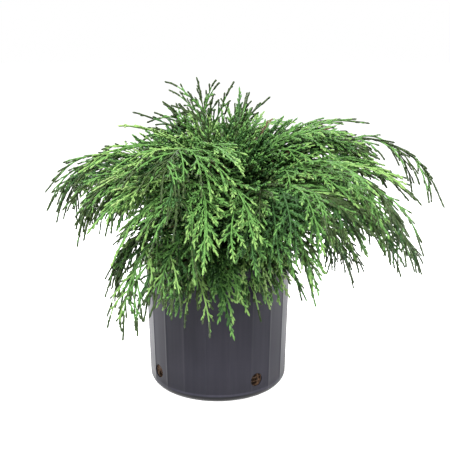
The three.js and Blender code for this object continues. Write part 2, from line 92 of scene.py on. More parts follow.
# Plumes, by the solids' rule, from rows whose bearings and lengths are within 14 degrees and 77 mm
# of the solids': tier, bearing, length, sway, and what differs from the tier. Sway is how far an
# axis swings sideways, launch and nod are the angles above level at its two ends, bend is how late
# it turns over, turn how far its foot is moved round the trunk, share where its bough gives way to
# foliage, reach the length of its longest cords, full how many they are, slim how slender, and
# weep how much they droop
AXIS_STEPS = 48
TIERS = {
    "rim": dict(foot=216, launch=60, nod=-82, bend=0.9, share=0.3, reach=100),
    "arch": dict(foot=229, launch=68, nod=-66, bend=1.05, share=0.28, reach=135),
    "upper": dict(foot=241, launch=77, nod=-38, bend=1.2, share=0.32, reach=128),
    "top": dict(foot=252, launch=87, nod=20, bend=2.2, share=0.38, reach=100),
}
PLUME_ROWS = [
    ("rim", -110, 276, -8, dict(launch=63, nod=-74, bend=1, slim=0.2, full=0.5, weep=1.2)),
    ("rim", -102, 203, 6, dict(foot=221, launch=66, slim=-0.2, full=1.2)),
    ("rim", -68, 154, 5, dict(launch=61, nod=-98, slim=-0.2, full=0.8)),
    ("rim", -46, 161, 12, dict(foot=221, launch=61, nod=-66, reach=127, slim=-0.2, full=0.8)),
    ("rim", -124, 325, -2, dict(
        foot=221, launch=72, nod=-90, bend=0.85, reach=72, slim=0.6, full=0.7, weep=1.6,
    )),
    ("rim", 4, 408, 18, dict(foot=213, launch=53, nod=-58, bend=0.95, reach=91, slim=0.3, full=1.1)),
    ("rim", 34, 351, 1, dict(foot=221, launch=54, nod=-76, reach=91, full=1.7)),
    ("rim", 78, 300, -5, dict(nod=-76)),
    ("rim", 124, 300, 5, dict(foot=221, nod=-76)),
    ("rim", 182, 214, 8, dict(launch=65, reach=92, slim=0.6, full=1.3, weep=1.6)),
    ("arch", 163, 398, -15, dict(launch=70.5, nod=-83, bend=1.4, reach=126, slim=0.5, weep=1.1)),
    ("arch", -2, 468, -15, dict(launch=64, nod=-78, bend=1.7, reach=81, turn=3, slim=0.4, full=0.5)),
    ("arch", 40, 412, 1, dict(foot=235, launch=71, nod=-86, bend=1.15, reach=153, full=1.25)),
    ("arch", -32, 402, 17, dict(launch=75, nod=-70, bend=1.25, turn=-3, full=1.1)),
    ("arch", -66, 291, 1, dict(launch=76, bend=1.1, reach=144, slim=-0.3, full=0.9)),
    ("arch", -106, 322, 8, dict(foot=233, launch=85, nod=-50, bend=1, turn=5, slim=-0.2)),
    ("arch", -145, 318, -10, dict(
        foot=233, launch=79, bend=1.3, reach=99, turn=-4, slim=0.1, full=1.3, weep=1.2,
    )),
    ("arch", 72, 372, 5, dict()),
    ("arch", 110, 378, -5, dict()),
    ("arch", 134, 362, 9, dict(foot=234, launch=72, full=1.6)),
    ("upper", 202, 246, -4, dict(foot=246, launch=79, nod=-66, bend=1.4, reach=137, turn=-4)),
    ("upper", 3, 342, -7, dict(launch=83, nod=-62, bend=1.6, reach=137, full=1.25)),
    ("upper", -52, 336, 12, dict(launch=72, bend=0.9, reach=137, slim=0, full=1.2)),
    ("upper", 84, 345, 6, dict(launch=80, nod=-30)),
    ("upper", -112, 346, 12, dict(launch=89, nod=-46, reach=119, turn=-8, slim=0)),
    ("top", 136, 241, 24, dict(launch=91, nod=-72, bend=3.2, reach=94, slim=0.3, full=1.6, weep=3.5)),
    ("top", -126, 238, -8, dict(launch=83, nod=76, bend=1.5, reach=89, slim=0.35, full=1.3)),
    ("top", 33, 217, -5, dict(launch=82, nod=68, bend=2.3, reach=74, slim=0.35, full=1.1)),
]
PLUMES = [
    {"tier": tier, "bearing": bearing, "length": length, "sway": sway, **TIERS[tier], **other}
    for tier, bearing, length, sway, other in PLUME_ROWS
]
PLUME_TIERS = np.array([plume["tier"] for plume in PLUMES])
TOP_FOOT_RADIUS = 5.5
BOUGH_SINK = 1
BOUGH_RADIUS = (2.7, 1.9)
BOUGH_STEPS = 30
BOUGH_SIDES = 12
STEM_RADIUS = (1.7, 1.1)
STEM_STEPS = 20
STEM_SIDES = 7
WOODY_END = 0.5  # share of the axis where the brown stem has turned green

# Cords: the side shoots of a stem, and the fine sprays and scale-clad tips on them
CORDS = {"rim": 26, "arch": 28, "upper": 27, "top": 16}
INNER_CORDS = 18  # on the bough itself, short and shaded
INNER_START = 0.16
INNER_REACH = 0.8
INNER_DROOP = 0.3
FIRST_CORD = 6
LAST_CORD = 0.9
CORD_SHIFT = 0.014  # of the stem, either way
CLUSTERS = 5  # cords draw together into this many groups along a stem
CLUSTERING = 0.4
CORD_REACH = 1.04
CORD_SWELL = (0.66, 0.1, 0.9)
CORD_UNEVEN = 0.2  # of its length, either way
CORD_OVERSHOOT = (-7, 46)  # how far a cord may end past its stem's end, mostly near the least
CORD_ANGLE = (44, 38, 15)  # at the root of the stem, at its tip, and either way
CORD_ROLL = (-38, 22)
INNER_ROLL = (-20, 50)
CORD_DROOP = {"rim": (0.6, 1.5), "arch": (0.8, 1.9), "upper": (0.5, 1.6), "top": (-0.1, 0.8)}
CORD_CURL = 0.25
CORD_VEER = 0.4
CORD_STEPS = 10
CORD_RADIUS = (1.7, 1.25)
CORD_WIDTH = (1.0, 0.84)  # plump and slim
SLIM_START = 0.3  # share of a stem from which its cords grow slimmer,
SLIM_END = 0.75  # and where they are slimmest
SLIM_GAIN = 0.8
PLUME_SLIM = 0.2  # where a plume's row says nothing
SPRAY_PITCH = (9.5, 12.5)  # between sprays, plump and slim, and so for the next four
SPRAY_SHARE = (0.32, 0.24)  # of a cord's length
SPRAY_LEAST = (6, 8)
SPRAY_WIDTH = (1.0, 0.9)
SPRAY_LEAN = (1.0, 0.6)
SPRAY_PLACES = (0.06, 0.95)  # shares of a cord
SPRAY_SHIFT = 0.012
SPRAY_END = 0.9  # the last spray grows on from here along the cord,
SPRAY_STRAIGHT = 0.1  # at this share of a spray's angle
SPRAY_SWELL = (0.45, 0.25, 0.85)
SPRAY_UNEVEN = 0.3
LONG_CORD = 130  # a longer cord's sprays grow no longer
LEAST_SPRAYS = 4
SPRAY_ANGLE = (49, 38, 8)
SPRAY_ROLL = 18
SPRAY_DROOP = (0.0, 0.35)
SPRAY_CURL = 0.3
SPRAY_VEER = 0.25
SPRAY_STEPS = 4
SPRAY_RADIUS = (1.5, 1.3)
KNOBS = np.array([0.95, 1.1, 0.9, 1.1])
LEAF_PITCH = (5.4, 7)
LEAF_PLACES = (0.1, 0.9)
LEAF_END = 0.76  # the last tip grows on from here along the spray,
LEAF_STRAIGHT = 0.15  # at this share of a tip's angle
LEAF_SHARE = 0.16
LEAF_LEAST = 4.0
LEAF_SWELL = (0.3, 0.2, 0.95)
LEAF_UNEVEN = 0.25
LEAST_LEAVES = 2
LEAF_ANGLE = (40, 32, 8)
LEAF_ROLL = 24
LEAF_DROOP = 0.1
LEAF_CURL = 0.3
LEAF_STEPS = 2
LEAF_BUD = 0.72  # place of a tip's thickest part
LEAF_RADII = (1.2, 1.5)
END_CORD = (0.46, 0.985)  # the stretch of a stem that is its own green end
TIP_BULK = (1.05, 1.4)  # the last spray of a cord and the last tip of a spray are thicker,
TIP_SLIM = 0.6  # and dark on cords at least this slim
PAINTED_SHADE_BULK = 1.25  # sprays in the painted shade tone are thicker
POT_MARGIN = 2.5

# Tones, dealt out by cord: shares of painted shade, fresh and painted sunlight in every tier, on the
# boughs themselves and at the far ends of the plumes. The shade and sunlight are painted into the
# green: the higher a cord points, the brighter it is, but for a few that are dealt out anyhow
TONES = ("deep", "fresh", "painted_sunlit_and_young", "pale", "olive", "withered")
TONE_SHARES = {
    "rim": (0.32, 0.36, 0.32),
    "arch": (0.27, 0.56, 0.17),
    "upper": (0.27, 0.58, 0.15),
    "top": (0.3, 0.55, 0.15),
    "inner": (0.78, 0.22, 0.0),
    "end": (0.25, 0.62, 0.13),
}
FAR_END = 0.72  # share of a stem from which its far end counts
BY_HEIGHT = 0.92  # weight of how high a cord points,
BY_CHANCE = 0.1  # and of chance
ANYHOW = 0.08
OLIVE_SHARE = 0.03
OLIVE_END = 0.15
WITHERED_INNER = 0.04
YOUNG_TONES = {  # of a young tip on a spray of each tone: one step paler, as young growth is
    "deep": "fresh", "fresh": "painted_sunlit_and_young", "painted_sunlit_and_young": "pale", "pale": "pale",
    "olive": "fresh", "withered": "withered",
}
YOUNG_SHARE = 0.6  # place on a cord from which its tips are young,
YOUNG_SPREAD = 0.25  # either way,
YOUNG_FROM = 0.4  # and on a spray
RIPE_SHARE = 0.8  # slimness times place on a cord, from which its tips are dark,
RIPE_SPREAD = 0.18  # either way
# The first tone is painted shade; the third is painted sunlight, and also young growth; pale is both
TONE_COLOURS = {
    "deep": ((0.012, 0.038, 0.009), (0.023, 0.068, 0.014)),
    "fresh": ((0.036, 0.094, 0.019), (0.063, 0.145, 0.032)),
    "painted_sunlit_and_young": ((0.080, 0.157, 0.036), (0.126, 0.212, 0.060)),
    "pale": ((0.120, 0.195, 0.055), (0.180, 0.250, 0.095)),
    "olive": ((0.010, 0.022, 0.005), (0.025, 0.043, 0.010)),
    "withered": ((0.046, 0.029, 0.013), (0.092, 0.060, 0.029)),
}

# Camera and light
CAMERA_PLACE = (12, -1180, 538)
CAMERA_PITCH = 13.1
CAMERA_FOCUS = 736  # pixels, in a picture 450 wide
PICTURE = 450
SENSOR = 36
FLOOR_SIZE = 40  # metres from its middle to a side
FLOOR_GLOW = 0.82
LIGHT_AIM = (0, 0, 0.25)  # metres
LIGHTS = (  # name, place, width and height in metres, and power in watts
    ("key", (-0.5, -1.4, 1.9), 0.6, 0.6, 165),
    ("fill", (1.2, -1.1, 1.3), 0.9, 0.9, 25),
    ("back", (0.1, 1.3, 1.8), 1.2, 0.8, 40),
    ("strip_left", (-1.5, 0.05, 0.35), 0.12, 1.3, 32),
    ("strip_right", (1.5, 0.0, 0.35), 0.12, 1.3, 32),
    ("strip_left_back", (-1.25, 1.15, 0.35), 0.12, 1.3, 28),
    ("strip_right_back", (1.25, 1.15, 0.35), 0.12, 1.3, 28),
)


# Small vector mathematics

def lerp(a, b, t):
    """a at t = 0, b at t = 1, and straight between."""
    return a + (b - a) * t


def unit(vectors):
    """Each vector divided by its own length."""
    return vectors / np.maximum(np.linalg.norm(vectors, axis=-1, keepdims=True), 1e-9)


def stack(*parts):
    """Coordinates put together along a new last axis."""
    return np.stack(np.broadcast_arrays(*parts), axis=-1)


def around(radius, bearing, height):
    """Points at a radius, a bearing about +Z in radians, and a height."""
    return stack(radius * np.cos(bearing), radius * np.sin(bearing), height)


def swell(shape, share):
    """Part of a sine's arch from start to end, raised so that it runs from least up to 1."""
    least, start, end = shape
    return lerp(least, 1, np.sin(np.pi * lerp(start, end, share)))


def either(rng, size, extent):
    """Random numbers between -extent and extent."""
    return extent * rng.uniform(-1, 1, size)


def waves(points, size, seed, count=14):
    """Irregular heights of about -1 to 1: a sum of sine waves in random directions, each about
    size long."""
    rng = np.random.default_rng(seed)
    directions = unit(rng.normal(size=(count, 3)))
    numbers = 2 * np.pi / (size * rng.uniform(0.7, 1.6, count))
    phases = rng.uniform(0, 2 * np.pi, count)
    total = np.zeros(points.shape[:-1])
    for direction, number, phase in zip(directions, numbers, phases):
        total += np.sin(points @ (direction * number) + phase)
    return total / np.sqrt(count)


# Meshes

def add_object(name, data):
    """A new object in the scene, at the origin."""
    made = bpy.data.objects.new(name, data)
    bpy.context.scene.collection.objects.link(made)
    return made


def make_piece(name, points, faces, material, slot, replaced, smooth=True):
    """A mesh object in the shared frame. points are millimetres, and faces a list of arrays, each
    with one row of corner numbers to a face."""
    faces = [np.asarray(rows) for rows in faces if len(rows)]
    corners = np.concatenate([rows.ravel() for rows in faces])
    sizes = np.concatenate([np.full(len(rows), rows.shape[1]) for rows in faces])
    mesh = bpy.data.meshes.new(name)
    mesh.vertices.add(len(points))
    mesh.vertices.foreach_set("co", (np.asarray(points) * MM).astype(np.float32).ravel())
    mesh.loops.add(len(corners))
    mesh.loops.foreach_set("vertex_index", corners.astype(np.int32))
    mesh.polygons.add(len(sizes))
    mesh.polygons.foreach_set("loop_start", (np.cumsum(sizes) - sizes).astype(np.int32))
    mesh.polygons.foreach_set("use_smooth", np.full(len(sizes), smooth))
    mesh.update(calc_edges=True)
    mesh.materials.append(material)
    piece = add_object(name, mesh)
    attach(piece, "root")
    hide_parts(*replaced)
    return piece


def ring_quads(first, columns):
    """Quads between rings of corners and the rings above them, from the number of the first corner
    of every lower ring."""
    here = first.reshape(-1, 1) + np.arange(columns)
    after = np.roll(here, -1, axis=1)
    return stack(here, after, after + columns, here + columns).reshape(-1, 4)


def ring_faces(count, rings, sides):
    """Faces of count tubes of rings x sides points each, with one more point at each tip. Returns
    the quads between rings, the triangles round the tips and the caps of the roots."""
    tube = np.arange(count)[:, None] * rings * sides
    quads = ring_quads(tube + np.arange(rings - 1) * sides, sides)
    here = tube + (rings - 1) * sides + np.arange(sides)
    tips = count * rings * sides + np.arange(count)[:, None]
    ends = stack(here, np.roll(here, -1, axis=1), tips).reshape(-1, 3)
    caps = tube + np.arange(sides)[::-1]
    return [quads, ends, caps]


def tubes(branches, radii, sides, tip=1.0):
    """Round tubes along paths. The ring at a path's point is point + radius (cos a side + sin a up),
    and the tube ends in a point at share tip of the path's last step. Returns points and faces."""
    path = branches["points"][:, :-1]
    count, rings = path.shape[:2]
    angle = -2 * np.pi * np.arange(sides) / sides
    side = branches["side"][:, :-1, None] * np.cos(angle)[:, None]
    up = branches["up"][:, :-1, None] * np.sin(angle)[:, None]
    rings_at = path[:, :, None] + (side + up) * radii[..., None, None]
    tips = lerp(path[:, -1], branches["points"][:, -1], tip)
    points = np.concatenate([rings_at.reshape(-1, 3), tips])
    return points, ring_faces(count, rings, sides)


def join(parts):
    """One set of points and faces from several."""
    points, faces, start = [], [], 0
    for part_points, part_faces in parts:
        points.append(part_points)
        faces += [rows + start for rows in part_faces]
        start += len(part_points)
    return np.concatenate(points), faces


def pick(branches, mask):
    """The branches for which mask is true."""
    return {key: values[mask] for key, values in branches.items()}


# Growth

def field(name, default=0):
    """One value of every plume as an array, from its row or its tier."""
    return np.array([plume.get(name, default) for plume in PLUMES], float)


def plume_axes():
    """Axes of all plumes. At share t an axis rises at launch + (nod - launch) t^bend degrees above
    level and heads for bearing + sway t^2; its points are the running sum of equal steps that way,
    from its foot in the trunk's bark."""
    ends = np.linspace(0, 1, AXIS_STEPS + 1)
    middles = (ends[1:] + ends[:-1]) / 2
    launch, nod, bend = field("launch"), field("nod"), field("bend")
    bearing, sway, length = field("bearing"), field("sway"), field("length")

    def directions(t):
        """The heading, and the level direction to the right of it."""
        rise = np.radians(launch[:, None] + (nod - launch)[:, None] * t ** bend[:, None])
        turn = np.radians(bearing[:, None] + sway[:, None] * t ** 2)
        side = stack(np.sin(turn), -np.cos(turn), 0 * turn)
        return around(np.cos(rise), turn, np.sin(rise)), side

    foot = field("foot")
    share = (foot - TRUNK_FOOT) / (TRUNK_TOP - TRUNK_FOOT)
    in_bark = lerp(TRUNK_RADIUS["base"], TRUNK_RADIUS["top"], share) - BOUGH_SINK
    radius = np.where(PLUME_TIERS == "top", TOP_FOOT_RADIUS, in_bark)
    lean = stack((foot - TRUNK_FOOT) * TRUNK_LEAN, 0, 0)
    root = around(radius, np.radians(bearing + field("turn")), foot) + lean
    steps = directions(middles)[0] * (length / AXIS_STEPS)[:, None, None]
    points = root[:, None] + np.concatenate([0 * steps[:, :1], np.cumsum(steps, axis=1)], axis=1)
    forward, side = directions(ends)
    return dict(points=points, forward=forward, side=side, up=np.cross(side, forward), length=length)


def sample(stems, rows, t):
    """Place and directions at share t of the named stems, straight between their points."""
    steps = stems["points"].shape[1] - 1
    at = np.clip(t * steps, 0, steps - 1e-6)
    low = at.astype(int)
    part = (at - low)[:, None]
    keys = ("points", "forward", "side", "up")
    return [lerp(stems[key][rows, low], stems[key][rows, low + 1], part) for key in keys]


def clear_of_pot(points):
    """Points in the pot's cylinder are moved out of it the shorter way, sideways past the rim or up
    past its top, and those over the potting mix are lifted clear of it."""
    points = points.copy()
    radius = np.hypot(points[..., 0], points[..., 1])
    mouth = RIM_RADIUS - 3 * RIM_BEAD - POT_MARGIN
    over_mix = radius < mouth
    ground = MIX_TOP_HEIGHT + POT_MARGIN
    points[..., 2] = np.where(over_mix, np.maximum(points[..., 2], ground), points[..., 2])
    out = RIM_RADIUS + POT_MARGIN
    depth_side = out - radius
    depth_top = POT_HEIGHT + POT_MARGIN - points[..., 2]
    inside = (depth_side > 0) & (depth_top > 0) & ~over_mix
    sideways = inside & (depth_side <= depth_top)
    scale = np.where(sideways, out / np.maximum(radius, 1), 1)
    points[..., 0] *= scale
    points[..., 1] *= scale
    points[..., 2] = np.where(inside & ~sideways, POT_HEIGHT + POT_MARGIN, points[..., 2])
    return points


def grow(parent, rows, t, side, roll, angle, length, droop, curl, veer, steps):
    """Many branches at once. Each leaves its parent at share t, at angle degrees from the parent's
    heading, to one side (1 or -1) in a plane turned about the parent by roll degrees. Every step
    adds droop downwards, the more the nearer the tip, and curl along and veer across the parent's
    heading, all shared out over the steps. The heading is made one unit long again each time."""
    at, ahead, across, above = sample(parent, rows, t)
    roll = np.radians(roll)[:, None]
    angle = np.radians(angle)[:, None]
    side = side[:, None]
    outward = side * np.cos(roll) * across + np.sin(roll) * above
    level = np.cos(roll) * above - side * np.sin(roll) * across
    heading = np.cos(angle) * ahead + np.sin(angle) * outward
    down = np.array([0, 0, -1.0])
    points, headings = [at], [heading]
    for step in range(steps):
        sag = droop[:, None] * (2 * step + 1) / steps
        heading = unit(heading + (curl * ahead + veer[:, None] * across + sag * down) / steps)
        headings.append(heading)
        points.append(points[-1] + heading * (length / steps)[:, None])
    points = clear_of_pot(np.stack(points, axis=1))
    forward = unit(np.stack(headings, axis=1))
    across = unit(np.cross(forward, level[:, None]))
    up = np.cross(across, forward)
    return dict(points=points, forward=forward, side=across, up=up, length=length)


def deal(counts):
    """Row number, and place in its row from 0 to 1, of counts[i] things on each row i."""
    rows = np.repeat(np.arange(len(counts)), counts)
    first = np.repeat(np.cumsum(counts) - counts, counts)
    order = np.arange(len(rows)) - first
    return rows, order, (order + 0.5) / np.repeat(counts, counts)


def grow_cords(axes):
    """Side cords of every stem, left and right by turns from just past the bough's tip to near the
    end, longest in the middle, and shorter ones along the bough."""
    rng = np.random.default_rng(SEED)
    counts = (np.array([CORDS[tier] for tier in PLUME_TIERS]) * field("full", 1)).astype(int)
    outer_rows, outer_order, outer_share = deal(counts)
    inner_rows, inner_order, inner_share = deal(np.full(len(PLUMES), INNER_CORDS))
    rows = np.concatenate([outer_rows, inner_rows])
    order = np.concatenate([outer_order, inner_order])
    share = np.concatenate([outer_share, inner_share])
    inner = np.arange(len(rows)) >= len(outer_rows)
    first = field("share") + FIRST_CORD / field("length")
    grouped = (np.floor(share * CLUSTERS) + 0.5) / CLUSTERS
    t = np.where(
        inner,
        lerp(INNER_START, field("share")[rows], share),
        lerp(first[rows], LAST_CORD, lerp(share, grouped, CLUSTERING)),
    )
    t += either(rng, len(rows), CORD_SHIFT)
    reach = field("reach")[rows] * np.where(inner, INNER_REACH, CORD_REACH * swell(CORD_SWELL, share))
    length = reach * (1 + either(rng, len(rows), CORD_UNEVEN))
    overshoot = lerp(*CORD_OVERSHOOT, rng.uniform(size=len(rows)) ** 3)
    length = np.minimum(length, (1 - t) * field("length")[rows] + overshoot)
    droops = np.array([CORD_DROOP[tier] for tier in PLUME_TIERS])[rows]
    droop = lerp(droops[:, 0], droops[:, 1], rng.uniform(size=len(rows)))
    droop = np.where(inner, INNER_DROOP, field("weep", 1)[rows]) * droop
    height = rng.uniform(size=len(rows))
    roll = np.where(inner, lerp(*INNER_ROLL, height), lerp(*CORD_ROLL, height))
    cords = grow(
        axes, rows, t,
        side=np.where((order + rows) % 2, 1.0, -1.0),
        roll=roll,
        angle=lerp(CORD_ANGLE[0], CORD_ANGLE[1], share) + either(rng, len(rows), CORD_ANGLE[2]),
        length=length,
        droop=droop,
        curl=CORD_CURL,
        veer=either(rng, len(rows), CORD_VEER),
        steps=CORD_STEPS,
    )
    # Tones paint light and shade into the green: cords that point higher are brighter, inner ones
    # darker
    shares = np.array([TONE_SHARES[tier] for tier in PLUME_TIERS])[rows]
    shares[inner] = TONE_SHARES["inner"]
    far = (t > FAR_END) & (PLUME_TIERS[rows] != "rim") & ~inner
    shares[far] = TONE_SHARES["end"]
    limits = np.cumsum(shares, axis=1)
    turn = rng.uniform(size=len(rows))
    by_height = np.clip(height * BY_HEIGHT + BY_CHANCE * (turn - 0.5), 0, 1)
    lot = np.where(turn < ANYHOW, rng.uniform(size=len(rows)), by_height)
    cords["tone"] = (lot[:, None] > limits[:, :-1]).sum(axis=1)
    chance = rng.uniform(size=len(rows))
    cords["tone"][chance < np.where(far, OLIVE_END, OLIVE_SHARE)] = TONES.index("olive")
    cords["tone"][chance > 1 - np.where(inner, WITHERED_INNER, 0)] = TONES.index("withered")
    along = np.clip((t - SLIM_START) / (SLIM_END - SLIM_START), 0, 1)
    cords["slim"] = np.clip(field("slim", PLUME_SLIM)[rows] + SLIM_GAIN * along, 0, 1)
    cords["width"] = lerp(*CORD_WIDTH, cords["slim"])
    return cords


def end_cords(axes):
    """The green end of every stem, as a cord of its own."""
    ends = axis_part(axes, *END_CORD, CORD_STEPS)
    ends["length"] = field("length") * (1 - END_CORD[0])
    ends["tone"] = np.where(PLUME_TIERS == "rim", TONES.index("fresh"), TONES.index("olive"))
    ends["slim"] = ends["width"] = np.ones(len(PLUMES))
    return ends


def grow_sprays(cords):
    """Fine sprays on the cords, left and right by turns, a pitch apart. The last one grows on
    almost straight from the cord's end."""
    rng = np.random.default_rng(SEED + 1)
    pitch = lerp(*SPRAY_PITCH, cords["slim"])
    counts = np.maximum((cords["length"] / pitch).astype(int), LEAST_SPRAYS)
    rows, order, share = deal(counts)
    slim = cords["slim"][rows]
    reach = np.minimum(cords["length"][rows], LONG_CORD) * lerp(*SPRAY_SHARE, slim)
    length = reach * swell(SPRAY_SWELL, share) * (1 + either(rng, len(rows), SPRAY_UNEVEN))
    length = np.maximum(length, lerp(*SPRAY_LEAST, slim))
    last = order == counts[rows] - 1
    length[last] += (1 - SPRAY_END) * cords["length"][rows[last]]
    angle = lerp(SPRAY_ANGLE[0], SPRAY_ANGLE[1], share) + either(rng, len(rows), SPRAY_ANGLE[2])
    angle[last] *= SPRAY_STRAIGHT
    t = lerp(*SPRAY_PLACES, share) + either(rng, len(rows), SPRAY_SHIFT)
    sprays = grow(
        cords, rows, np.where(last, SPRAY_END, t),
        side=np.where((order + rows) % 2, 1.0, -1.0),
        roll=either(rng, len(rows), SPRAY_ROLL),
        angle=angle * lerp(*SPRAY_LEAN, slim),
        length=length,
        droop=rng.uniform(*SPRAY_DROOP, len(rows)),
        curl=SPRAY_CURL,
        veer=either(rng, len(rows), SPRAY_VEER),
        steps=SPRAY_STEPS,
    )
    sprays["tone"] = cords["tone"][rows]
    ripe = slim * share + either(rng, len(rows), RIPE_SPREAD) > RIPE_SHARE
    sprays["tone"][ripe | last & (slim > TIP_SLIM)] = TONES.index("olive")
    sprays["share"] = share
    sprays["slim"] = slim
    sprays["width"] = lerp(*SPRAY_WIDTH, slim) * np.where(last, lerp(*TIP_BULK, slim), 1)
    return sprays


def grow_leaves(sprays):
    """Scale-clad tips on the sprays, left and right by turns, thickest a little before their
    ends. The last one grows on almost straight from the spray's end."""
    rng = np.random.default_rng(SEED + 2)
    pitch = lerp(*LEAF_PITCH, sprays["slim"])
    counts = np.maximum((sprays["length"] / pitch).astype(int), LEAST_LEAVES)
    rows, order, share = deal(counts)
    slim = sprays["slim"][rows]
    length = LEAF_LEAST + sprays["length"][rows] * LEAF_SHARE * swell(LEAF_SWELL, share)
    length *= 1 + either(rng, len(rows), LEAF_UNEVEN)
    last = order == counts[rows] - 1
    length[last] = LEAF_LEAST + (1 - LEAF_END) * sprays["length"][rows[last]]
    angle = lerp(LEAF_ANGLE[0], LEAF_ANGLE[1], share) + either(rng, len(rows), LEAF_ANGLE[2])
    angle *= lerp(*SPRAY_LEAN, slim) * np.where(last, LEAF_STRAIGHT, 1)
    leaves = grow(
        sprays, rows, np.where(last, LEAF_END, lerp(*LEAF_PLACES, share)),
        side=np.where((order + rows) % 2, 1.0, -1.0),
        roll=either(rng, len(rows), LEAF_ROLL),
        angle=angle,
        length=length * lerp(*SPRAY_WIDTH, slim),
        droop=np.full(len(rows), LEAF_DROOP),
        curl=LEAF_CURL,
        veer=np.zeros(len(rows)),
        steps=LEAF_STEPS,
    )
    base, middle, end = leaves["points"].transpose(1, 0, 2)
    middle[:] = lerp(base, end, LEAF_BUD)
    young = sprays["share"][rows] + either(rng, len(rows), YOUNG_SPREAD) > YOUNG_SHARE
    tone = sprays["tone"][rows]
    young_tone = np.array([TONES.index(YOUNG_TONES[name]) for name in TONES])[tone]
    leaves["tone"] = np.where(young & (share > YOUNG_FROM), young_tone, tone)
    ripe = slim * sprays["share"][rows] + either(rng, len(rows), RIPE_SPREAD) > RIPE_SHARE
    leaves["tone"][ripe | last & (slim > TIP_SLIM)] = TONES.index("olive")
    leaves["width"] = lerp(*SPRAY_WIDTH, slim) * np.where(last, lerp(*TIP_BULK, slim), 1)
    return leaves


# Node materials

def new_material(name, colour, roughness, specular):
    """A material, its shader, and a function that adds a node to it, with linked or constant
    inputs, and returns the node's outputs."""
    material = bpy.data.materials.new(name)
    material.use_nodes = True
    nodes, links = material.node_tree.nodes, material.node_tree.links
    shader = nodes["Principled BSDF"]
    shader.inputs["Base Color"].default_value = (*colour, 1)
    shader.inputs["Roughness"].default_value = roughness
    shader.inputs["Specular IOR Level"].default_value = specular

    def add(kind, values, **settings):
        node = nodes.new(kind)
        for key, value in settings.items():
            setattr(node, key, value)
        for key, value in values.items():
            if isinstance(value, bpy.types.NodeSocket):
                links.new(value, node.inputs[key])
            else:
                node.inputs[key].default_value = value
        return node.outputs

    return material, shader, add


def placed(add, scale=(1, 1, 1)):
    """Object coordinates stretched by scale along each axis."""
    where = add("ShaderNodeTexCoord", {})["Object"]
    return add("ShaderNodeMapping", {"Vector": where, "Scale": scale})[0]


def clouds(add, where, scale, detail, roughness=0.5):
    """Soft noise, mostly between 0.3 and 0.7, with about scale clouds to a metre."""
    values = {"Vector": where, "Scale": scale, "Detail": detail, "Roughness": roughness}
    return add("ShaderNodeTexNoise", values)[0]


def cells(add, where, scale):
    """Distance from the nearest of scattered points, about scale of them to a metre."""
    return add("ShaderNodeTexVoronoi", {"Vector": where, "Scale": scale})["Distance"]


def remap(add, value, start, end, low=0, high=1):
    """low up to start, high from end on, and straight between."""
    values = {"Value": value, "From Min": start, "From Max": end, "To Min": low, "To Max": high}
    return add("ShaderNodeMapRange", values)[0]


def calculate(add, operation, *values):
    """The result of one step of arithmetic with outputs and numbers."""
    return add("ShaderNodeMath", dict(enumerate(values)), operation=operation)[0]


def blend_colours(add, factor, low, high):
    """The colour low where factor is 0 and high where it is 1."""
    values = {0: factor, 6: (*low, 1), 7: (*high, 1)}
    return add("ShaderNodeMix", values, data_type="RGBA")[2]


def dress(shader, add, colour, relief, strength, depth):
    """Link a colour to the shader, and a fine relief of depth millimetres."""
    values = {"Height": relief, "Strength": strength, "Distance": depth * MM}
    links = shader.id_data.links
    links.new(colour, shader.inputs["Base Color"])
    links.new(add("ShaderNodeBump", values)[0], shader.inputs["Normal"])


def leaf_material(tone):
    """Scale leaves: two shades that change every few millimetres, over fine overlapping scales."""
    low, high = TONE_COLOURS[tone]
    material, shader, add = new_material(f"scale_leaves_{tone}", low, 0.6, 0.16)
    where = placed(add)
    patches = remap(add, clouds(add, where, 150, 3), 0.3, 0.7)
    dress(shader, add, blend_colours(add, patches, low, high), cells(add, where, 850), 0.5, 0.5)
    return material


def bark_material(name, low, high, size):
    """Fibrous bark: two browns in long streaks, with the streaks raised."""
    material, shader, add = new_material(name, low, 0.82, 0.25)
    streaks = clouds(add, placed(add, (1, 1, 0.35)), 1 / (size * MM), 6, 0.65)
    colour = blend_colours(add, remap(add, streaks, 0.35, 0.65), low, high)
    dress(shader, add, colour, streaks, 0.6, 1.2)
    return material


